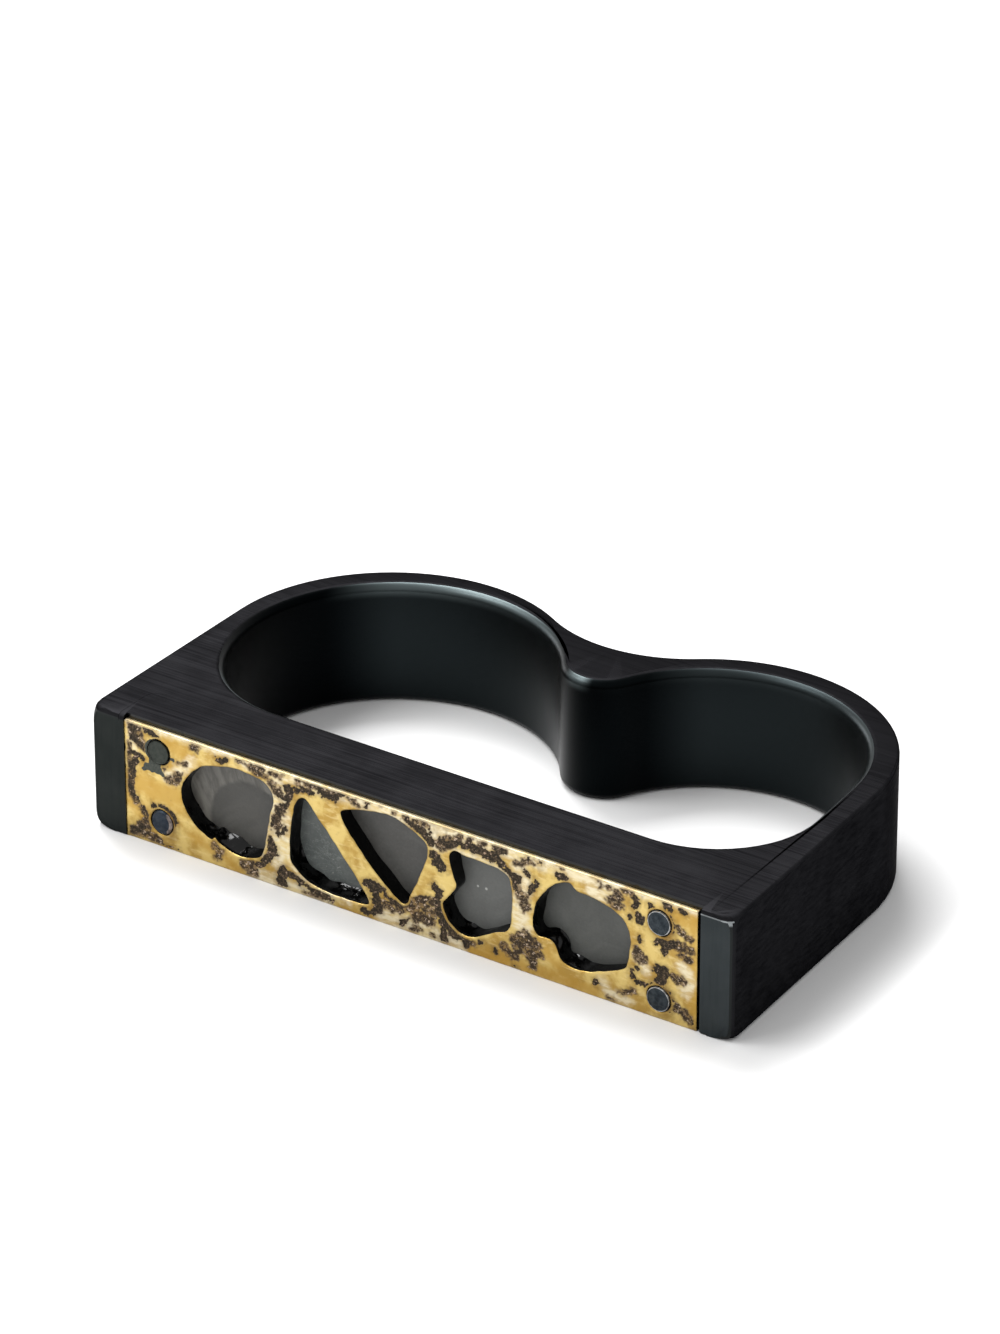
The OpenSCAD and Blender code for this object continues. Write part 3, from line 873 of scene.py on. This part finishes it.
# The marks on the gold: the strokes, how much the noise frays them, and the depths in a stroke, in
# mm, where a mark begins and where it is full
marks = {
    "dark": (dark_strokes, 1.3, -0.12, -0.01),
    "crust": (crust_strokes, 1.3, -0.18, 0.0),
    "stain": (stain_strokes, 0.4, -0.04, 0.04),
    "pale": (pale_strokes, 1.2, -0.35, 0.25),
    "warm": (warm_strokes, 1.2, -0.4, 0.4),
}
layers = {name: sheet_shape.verts.layers.float.new(name) for name in (*marks, "scorch_and_shadow")}
face_points = [v for v in sheet_shape.verts if v.co.y < sheet_low.y + 0.01 * mm]
on_face = set(face_points)
rim_points = [v for v in face_points if any(not on_face.issuperset(f.verts) for f in v.link_faces)]
rim_tree = tree_of([v.co for v in rim_points])
face_tree = tree_of([Vector((v.co.x, sheet_low.y, v.co.z)) for v in face_points])
depths = {name: painted(strokes) for name, (strokes, *_) in marks.items()}
# Scorched gold round each rivet, partly painted shadow beside the head: how strong, and on which side it
# is strongest, x and z
scorch_and_shadow_round_rivets = {
    "rivet_1": (0.15, Vector((0, 0, 0))),
    "rivet_2": (0.9, Vector((0.7, 0, 0.7))),
    "rivet_3": (0.8, Vector((0.8, 0, -0.4))),
    "rivet_4": (0.95, Vector((0.8, 0, 0.4))),
}
pin_centres = {node: sum(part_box(node), Vector()) / 2 for node in scorch_and_shadow_round_rivets}
# The rims of the windows waver a little, by noise with a fixed seed
noise.seed_set(7)
swayed = 0.3 * mm
for index, point in enumerate(face_points):
    from_rim = rim_tree.find(point.co)[2]
    here = point.co.copy()
    ragged = 0.17 * noise.noise(here / (0.5 * mm)) + 0.12 * noise.noise(here / (0.19 * mm))
    kept = eased(from_rim / mm, 0.1, 0.22)
    for name, (_, frayed, begins, full) in marks.items():
        amount = eased(depths[name][index] + frayed * ragged, begins, full)
        stops_short = name in ("dark", "crust")
        point[layers[name]] = amount * kept if stops_short else amount
    burnt = max(depths["dark"][index], depths["crust"][index] - 0.05)
    scorch_and_shadow = 0.5 * eased(burnt + 1.5 * ragged, -0.42, -0.05)
    # Round the rivets the mark is strongest on one side, as painted shadow beside each head.
    for node, (strength, side) in scorch_and_shadow_round_rivets.items():
        from_pin = here - pin_centres[node]
        from_pin.y = 0
        ring = eased(-from_pin.length / mm + ragged, -1.75, -1.05)
        scorch_and_shadow = max(scorch_and_shadow, strength * ring * (0.5 + 0.6 * side.dot(from_pin.normalized())))
    point[layers["scorch_and_shadow"]] = scorch_and_shadow
    grit = max(0, noise.noise(here / (0.13 * mm) + Vector((7, 0, 0))))
    hollow = max(
        point[layers["dark"]] * (1 - 0.6 * grit),
        0.8 * point[layers["crust"]] * (1 - 1.6 * grit),
    )
    waves = noise.noise(here / (1.1 * mm)) * 0.02 * mm
    rounding = lip - math.sqrt(max(0.0, lip ** 2 - max(0.0, lip - from_rim) ** 2))
    rounding *= eased((here.x - sheet_low.x) / mm, 0.1, 0.4)
    point.co.y += max(0, hollow) * pit_depth + waves + rounding * 0.5
    if from_rim < swayed and abs(here.x - middle) < 21 * mm and mm / 3 < here.z < 8.3 * mm:
        sway = noise.noise_vector(here / (0.6 * mm)) * 0.05 * mm * (1 - from_rim / swayed)
        point.co.x += sway.x
        point.co.z += sway.z
edge_width = 0.05 * mm
for vert in sheet_shape.verts:
    if vert.co.z > sheet_top - edge_width:
        vert[layers["pale"]] = 0.9
    nearness = max(0.0, 1 - (vert.co.x - sheet_low.x) / (0.6 * mm))
    bite = noise.noise(Vector((0, 5, vert.co.z / (0.7 * mm)))) + 0.1
    vert.co.x += (max(0.0, bite) * ragged_end - closing) * nearness
for face in sheet_shape.faces:
    centre = face.calc_center_median()
    inner = edge_width < centre.z < sheet_top - edge_width and sheet_low.x + 0.3 * mm < centre.x
    face.material_index = 1 if inner and face.normal.y > -0.3 else 0


def fused_gold():
    """Gold with its marks, from the soft ones to the dark scale and the stain on top of all."""
    material, tree, shader = new_material("fused_gold", {})
    mark = {
        name: add(tree, "ShaderNodeAttribute", output="Fac", attribute_name=name) for name in layers
    }
    fine = grain(tree, (6000, 6000, 6000), detail=5.0, rough=0.7)
    specks = grain(tree, (3300, 3300, 3900), detail=5.0, rough=0.7, twist=0.5)
    chips = grain(tree, (2600, 2600, 3400), detail=4.0, rough=0.75, turn=(0, 0.4, 0))
    clouds = grain(tree, (520, 520, 520), detail=5.0, rough=0.6)
    brush = grain(tree, (800, 800, 2600), detail=4.0, rough=0.65, twist=0.4)
    flecks = spread(tree, fine, 0.35, 0.65, -0.3, 0.3)
    solid = spread(tree, sum_of(tree, mark["dark"], flecks), 0.3, 0.56)
    mixed = product_of(tree, mark["crust"], spread(tree, specks, 0.4, 0.52, 0.15, 1.0))
    blot = spread(tree, sum_of(tree, mark["stain"], product_of(tree, flecks, 0.3)), 0.45, 0.55)
    frosted = product_of(tree, mark["pale"], spread(tree, brush, 0.35, 0.62, 0.35, 1.0))
    gold = blended(tree, spread(tree, clouds, 0.4, 0.6), (0.42, 0.268, 0.068, 1), (0.63, 0.475, 0.17, 1))
    gold = blended(tree, spread(tree, brush, 0.52, 0.66, 0.0, 0.4), gold, (0.74, 0.59, 0.28, 1))
    gold = blended(tree, product_of(tree, mark["warm"], 0.75), gold, (0.46, 0.275, 0.055, 1))
    gold = blended(tree, frosted, gold, (0.72, 0.64, 0.45, 1))
    tarnish = product_of(tree, mark["crust"], spread(tree, brush, 0.3, 0.7, 0.45, 0.95))
    gold = blended(tree, tarnish, gold, (0.3, 0.2, 0.115, 1))
    # The scorch mark browns the gold; round the rivets it is partly painted shadow.
    burnt = product_of(tree, mark["scorch_and_shadow"], spread(tree, brush, 0.3, 0.65, 0.55, 1.0))
    gold = blended(tree, burnt, gold, (0.13, 0.072, 0.025, 1))
    rosy = product_of(tree, spread(tree, chips, 0.56, 0.64), mark["crust"])
    scale = blended(
        tree, spread(tree, fine, 0.45, 0.72), (0.017, 0.012, 0.0065, 1), (0.12, 0.082, 0.046, 1)
    )
    scale = blended(tree, spread(tree, chips, 0.58, 0.66), scale, (0.36, 0.25, 0.17, 1))
    colour = blended(tree, mixed, gold, (0.034, 0.022, 0.012, 1))
    colour = blended(tree, rosy, colour, (0.56, 0.43, 0.31, 1))
    colour = blended(tree, solid, colour, scale)
    stained = blended(
        tree, spread(tree, fine, 0.35, 0.65), (0.04, 0.046, 0.038, 1), (0.065, 0.07, 0.06, 1)
    )
    colour = blended(tree, blot, colour, stained)
    tree.links.new(colour, shader.inputs["Base Color"])
    covered = larger_of(tree, larger_of(tree, solid, mixed), blot)
    tree.links.new(spread(tree, covered, 0.0, 1.0, 1.0, 0.2), shader.inputs["Metallic"])
    tree.links.new(spread(tree, covered, 0.0, 1.0, 0.5, 0.2), shader.inputs["Specular IOR Level"])
    tree.links.new(spread(tree, covered, 0.0, 1.0, 0.42, 0.65), shader.inputs["Roughness"])
    relief = sum_of(tree, product_of(tree, fine, 0.35), product_of(tree, covered, -0.5))
    raised(tree, shader, sum_of(tree, relief, brush), 0.025 * mm, 0.8)
    return material


finished("gold_sheet", sheet_shape, [fused_gold(), enamel], "gold_plate", sharp=62)


# Rivets: four short silver pins, hammered down over the gold and blackened. The right pair keep
# a thin bright rim, the lower left one has a flat worn on its side, the upper left one is level.
def rivet_silver(name, dark, light):
    material, tree, shader = new_material(name, {"Metallic": 1.0})
    spots = grain(tree, (2600, 2600, 2600), detail=5.0, rough=0.65)
    tree.links.new(blended(tree, spread(tree, spots, 0.35, 0.7), dark, light), shader.inputs["Base Color"])
    tree.links.new(spread(tree, spots, 0.3, 0.7, 0.35, 0.6), shader.inputs["Roughness"])
    raised(tree, shader, spots, 0.05 * mm, 0.5)
    return material


def rivet_shape(node, dome, rim, rim_from, wide, tall):
    """A pin with a low head: from the middle of the head over its rim, then down the shaft."""
    low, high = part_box(node)
    centre = (low + high) / 2
    radius = (high.x - low.x) / 2
    shaft = radius * 0.66
    head_face = 0.08 * mm
    head_foot = 0.37 * mm
    shaft_end = 2.9 * mm
    profile = [
        (0, head_face - dome),
        (radius * 0.45, head_face - dome * 0.85),
        (radius * 0.72, head_face - dome * 0.45),
        (radius - rim, 0.07 * mm),
        (radius - rim * 0.75, 0.04 * mm),
        (radius - rim * 0.3, 0.05 * mm),
        (radius, 0.14 * mm),
        (radius, head_foot),
        (shaft, head_foot),
        (shaft, shaft_end),
        (0, shaft_end),
    ]
    shape = bmesh.new()
    verts = [shape.verts.new((x, y, 0)) for x, y in profile]
    edges = [shape.edges.new(pair) for pair in zip(verts, verts[1:])]
    bmesh.ops.spin(
        shape,
        geom=verts + edges,
        cent=(0, 0, 0),
        axis=(0, 1, 0),
        angle=2 * math.pi,
        steps=48,
        use_merge=True,
    )
    bmesh.ops.remove_doubles(shape, verts=shape.verts, dist=tiny)
    bmesh.ops.recalc_face_normals(shape, faces=shape.faces)
    bmesh.ops.scale(shape, verts=shape.verts, vec=(wide, 1, tall))
    bmesh.ops.translate(shape, verts=shape.verts, vec=(centre.x, low.y, centre.z))
    for face in shape.faces:
        spot = face.calc_center_median()
        reach = math.hypot(spot.x - centre.x, spot.z - centre.z)
        on_rim = reach > radius - rim and spot.x - centre.x > rim_from * radius
        face.material_index = 1 if on_rim and spot.y < low.y + 0.1 * mm else 0
    return shape


slate = rivet_silver("slate_rivet", (0.018, 0.023, 0.028, 1), (0.055, 0.066, 0.075, 1))
bright_rim = rivet_silver("bright_rim", (0.15, 0.15, 0.15, 1), (0.6, 0.61, 0.62, 1))
dusky = rivet_silver("dusky_rivet", (0.03, 0.035, 0.03, 1), (0.055, 0.06, 0.052, 1))
blue_slate = rivet_silver("blue_rivet", (0.02, 0.026, 0.036, 1), (0.048, 0.058, 0.072, 1))
pink_flat = rivet_silver("pink_flat", (0.1, 0.085, 0.08, 1), (0.32, 0.27, 0.25, 1))
# For each rivet: the head's dome, the rim's width and how far across the head it starts (-1 is the
# left side), the head's width and height against a round one, and the looks of head and rim
rivets = {
    "rivet_1": (0.01 * mm, 0.1 * mm, 0, 0.93, 0.93, [dusky, dusky]),
    "rivet_2": (0.06 * mm, 0.3 * mm, 0.45, 0.92, 0.97, [blue_slate, pink_flat]),
    "rivet_3": (0.05 * mm, 0.1 * mm, -1, 0.96, 0.96, [slate, bright_rim]),
    "rivet_4": (0.05 * mm, 0.1 * mm, -1, 0.96, 0.97, [slate, bright_rim]),
}
for node, (*sizes, looks) in rivets.items():
    pin = rivet_shape(node, *sizes)
    finished(node.replace("rivet", "riveted_pin"), pin, looks, node)


bpy.context.view_layer.update()
